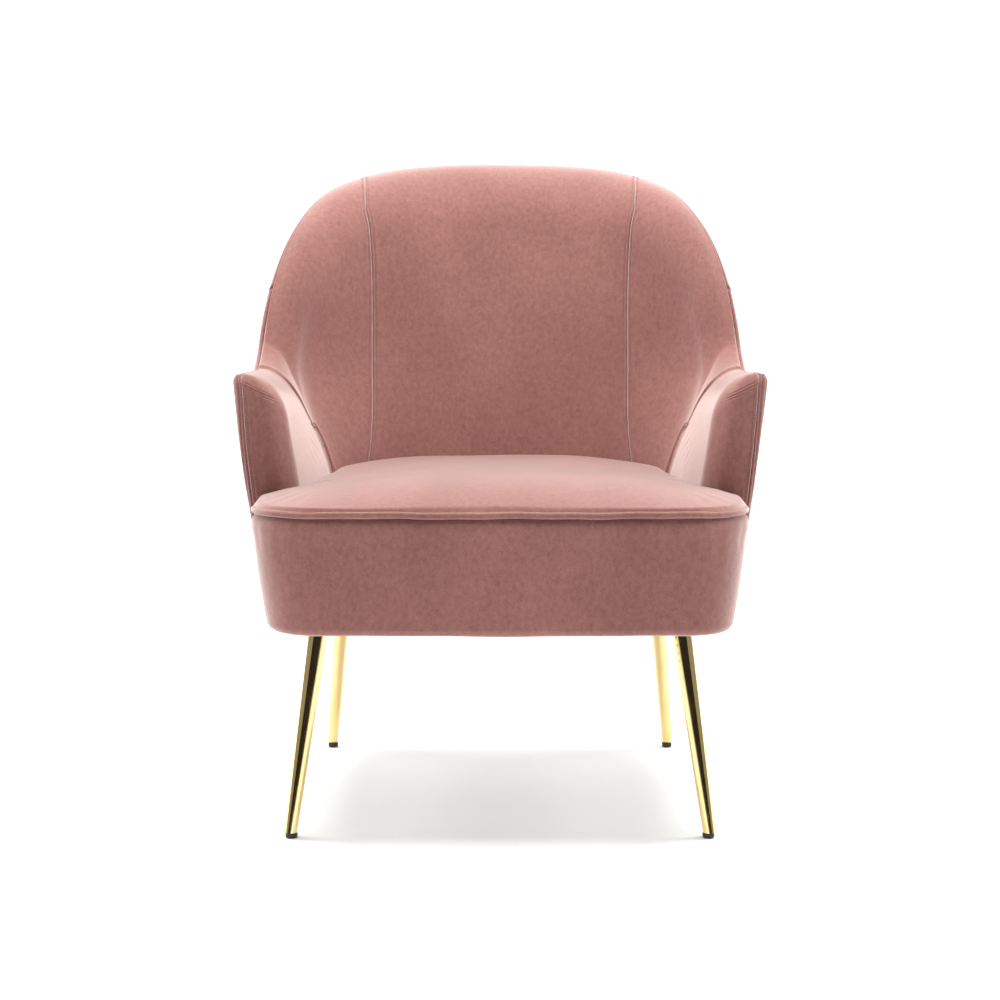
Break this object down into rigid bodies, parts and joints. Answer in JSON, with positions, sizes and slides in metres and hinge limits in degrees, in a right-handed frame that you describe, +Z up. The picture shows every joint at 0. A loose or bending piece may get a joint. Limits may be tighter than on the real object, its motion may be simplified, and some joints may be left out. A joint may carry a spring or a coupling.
{
  "type": "upholstered armchair",
  "caption": "Low velvet armchair: a curved tub of back and arms round a sprung, welted seat, on slim splayed tapered metal legs with levelling glides.",
  "frame": {"origin": "on the floor, below the middle of the chair's width and depth", "axes": "+Z up, +Y towards the rear of the chair, +X to the right as seen from the front"},
  "size_m": [0.6776, 0.6977, 0.869],
  "materials": {
    "velvet": "dusty rose velvet with a short dense nap",
    "foam": "open-cell polyurethane foam",
    "wood": "raw plywood and softwood",
    "gold": "polished gold-coloured plating",
    "zinc_steel": "zinc plated",
    "felt": "needled felt",
    "wadding": "polyester wadding",
    "dust_cloth": "spun non-woven cloth",
    "webbing": "woven elastic webbing",
    "fibreboard": "pressed fibreboard",
    "black_plastic": "black moulded plastic"
  },
  "bodies": {
    "chair": {"base_front_rail": "wood", "base_rear_rail": "wood", "base_left_rail": "wood", "base_right_rail": "wood", "corner_blocks": "wood", "seat_springs": "zinc_steel", "spring_clips": "zinc_steel", "spring_felt": "felt", "seat_foam": "foam", "seat_top_cover": "velvet", "seat_border_cover": "velvet", "seat_border_padding": "wadding", "seat_welt": "velvet", "dust_cover": "dust_cloth", "back_top_rail": "wood", "back_middle_rail": "wood", "back_lower_rail": "wood", "left_back_post": "wood", "right_back_post": "wood", "left_arm_rail": "wood", "right_arm_rail": "wood", "left_arm_sill": "wood", "right_arm_sill": "wood", "left_arm_post": "wood", "right_arm_post": "wood", "back_webbing": "webbing", "back_liner": "fibreboard", "left_arm_liner": "fibreboard", "right_arm_liner": "fibreboard", "back_foam": "foam", "left_arm_foam": "foam", "right_arm_foam": "foam", "back_centre_cover": "velvet", "back_left_cover": "velvet", "back_right_cover": "velvet", "left_arm_cover": "velvet", "right_arm_cover": "velvet", "left_arm_facing": "velvet", "right_arm_facing": "velvet", "outer_back_cover": "velvet", "left_outer_cover": "velvet", "right_outer_cover": "velvet", "front_left_leg": "gold", "front_right_leg": "gold", "rear_left_leg": "gold", "rear_right_leg": "gold", "leg_plates": "zinc_steel", "leg_screws": "zinc_steel", "leg_plugs": "black_plastic"},
    "front_left_glide": {"front_left_glide_stem": "zinc_steel", "front_left_glide_base": "black_plastic"},
    "front_right_glide": {"front_right_glide_stem": "zinc_steel", "front_right_glide_base": "black_plastic"},
    "rear_left_glide": {"rear_left_glide_stem": "zinc_steel", "rear_left_glide_base": "black_plastic"},
    "rear_right_glide": {"rear_right_glide_stem": "zinc_steel", "rear_right_glide_base": "black_plastic"}
  },
  "joints": [
    {"name": "front_left_glide_screw", "type": "slide", "parent": "chair", "child": "front_left_glide", "axis": [0, 0, -1], "range_m": [0, 0.008]},
    {"name": "front_right_glide_screw", "type": "slide", "parent": "chair", "child": "front_right_glide", "axis": [0, 0, -1], "range_m": [0, 0.008]},
    {"name": "rear_left_glide_screw", "type": "slide", "parent": "chair", "child": "rear_left_glide", "axis": [0, 0, -1], "range_m": [0, 0.008]},
    {"name": "rear_right_glide_screw", "type": "slide", "parent": "chair", "child": "rear_right_glide", "axis": [0, 0, -1], "range_m": [0, 0.008]}
  ]
}
